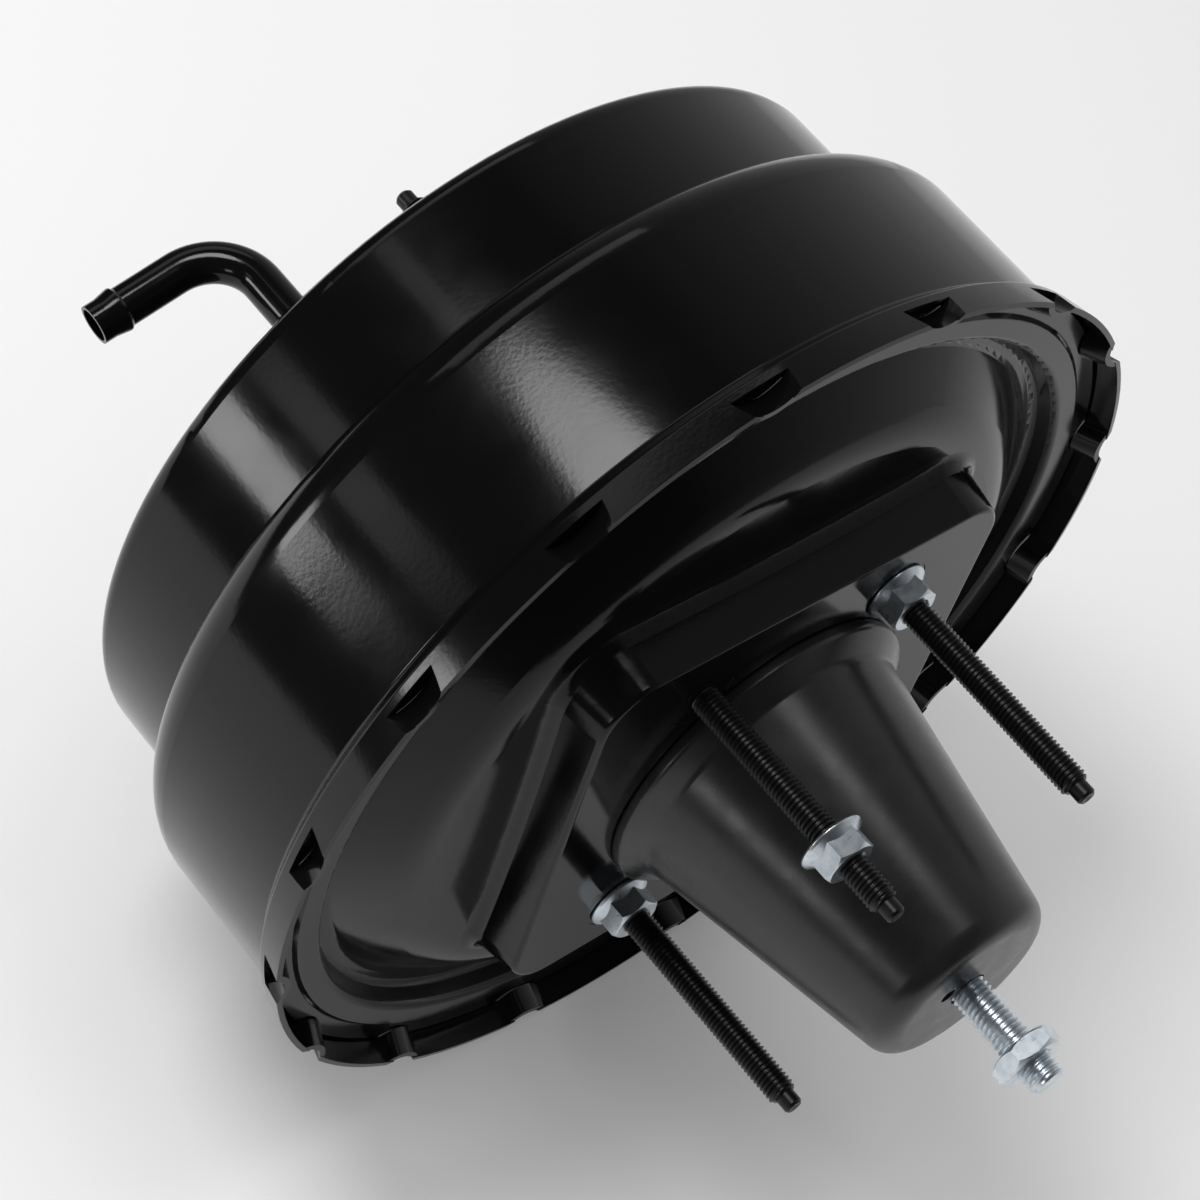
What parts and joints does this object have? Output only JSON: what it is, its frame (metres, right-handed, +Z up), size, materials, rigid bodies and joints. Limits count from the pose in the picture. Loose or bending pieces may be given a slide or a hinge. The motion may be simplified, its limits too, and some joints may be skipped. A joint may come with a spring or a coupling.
{
  "type": "brake booster",
  "caption": "Stepped round tandem vacuum brake booster with a square firewall face, threaded studs, tapered dust boot, pedal pushrod, hose pipe and sliding power piston.",
  "frame": {"origin": "centre of the firewall mounting face, on the booster's axis", "axes": "+Y along the axis towards the master cylinder, -Y towards the pedal, +Z up along the longer side of the stud rectangle, +X across it"},
  "size_m": [0.274, 0.2797, 0.274],
  "materials": {
    "black_paint": "gloss",
    "black_steel": "satin",
    "zinc_plate": "bright zinc plate",
    "boot_rubber": "satin",
    "seal_rubber": "matt",
    "plain_steel": "rolled",
    "spring_steel": "drawn wire",
    "moulded_resin": "moulded",
    "nylon": "moulded",
    "filter_foam": "open foam",
    "filter_felt": "felt"
  },
  "bodies": {
    "housing": {"front_shell": "black_paint", "rear_shell": "black_paint", "centre_plate": "plain_steel", "reinforcement_plate": "plain_steel", "firewall_studs": "black_steel", "firewall_nuts": "zinc_plate", "cylinder_studs": "black_steel", "vacuum_pipe": "black_paint", "pipe_collar": "black_paint", "dust_boot": "boot_rubber", "rear_bush": "nylon", "rear_seal": "seal_rubber", "rear_seal_retainer": "plain_steel", "centre_seal": "seal_rubber", "front_seal_plate": "plain_steel", "front_seal": "seal_rubber", "rear_diaphragm": "seal_rubber", "front_diaphragm": "seal_rubber"},
    "power_piston": {"valve_body": "moulded_resin", "rear_piston_plate": "plain_steel", "front_piston_plate": "plain_steel", "stop_key": "plain_steel", "reaction_disc": "seal_rubber", "output_rod": "plain_steel", "output_screw": "zinc_plate", "output_clip": "plain_steel", "return_spring": "spring_steel", "poppet_valve": "seal_rubber", "poppet_retainer": "plain_steel", "poppet_spring": "spring_steel", "air_filter": "filter_foam", "silencer": "filter_felt"},
    "control_valve": {"valve_plunger": "plain_steel", "valve_spring": "spring_steel"},
    "input_rod": {"input_pushrod": "zinc_plate", "jam_nut": "zinc_plate", "spring_seat": "plain_steel"}
  },
  "joints": [
    {"name": "piston_travel", "type": "slide", "parent": "housing", "child": "power_piston", "axis": [0, 1, 0], "range_m": [0, 0.032], "stiffness_N_per_m": 1500, "springref_m": -0.02, "deforming": ["dust_boot", "rear_diaphragm", "front_diaphragm", "return_spring"]},
    {"name": "valve_travel", "type": "slide", "parent": "power_piston", "child": "control_valve", "axis": [0, 1, 0], "range_m": [0, 0.002], "stiffness_N_per_m": 1500, "springref_m": -0.004, "deforming": ["valve_spring"]},
    {"name": "rod_tilt", "type": "hinge", "parent": "control_valve", "child": "input_rod", "pos_m": [0, 0.008, 0], "axis": [1, 0, 0], "range_deg": [-2, 2]}
  ]
}
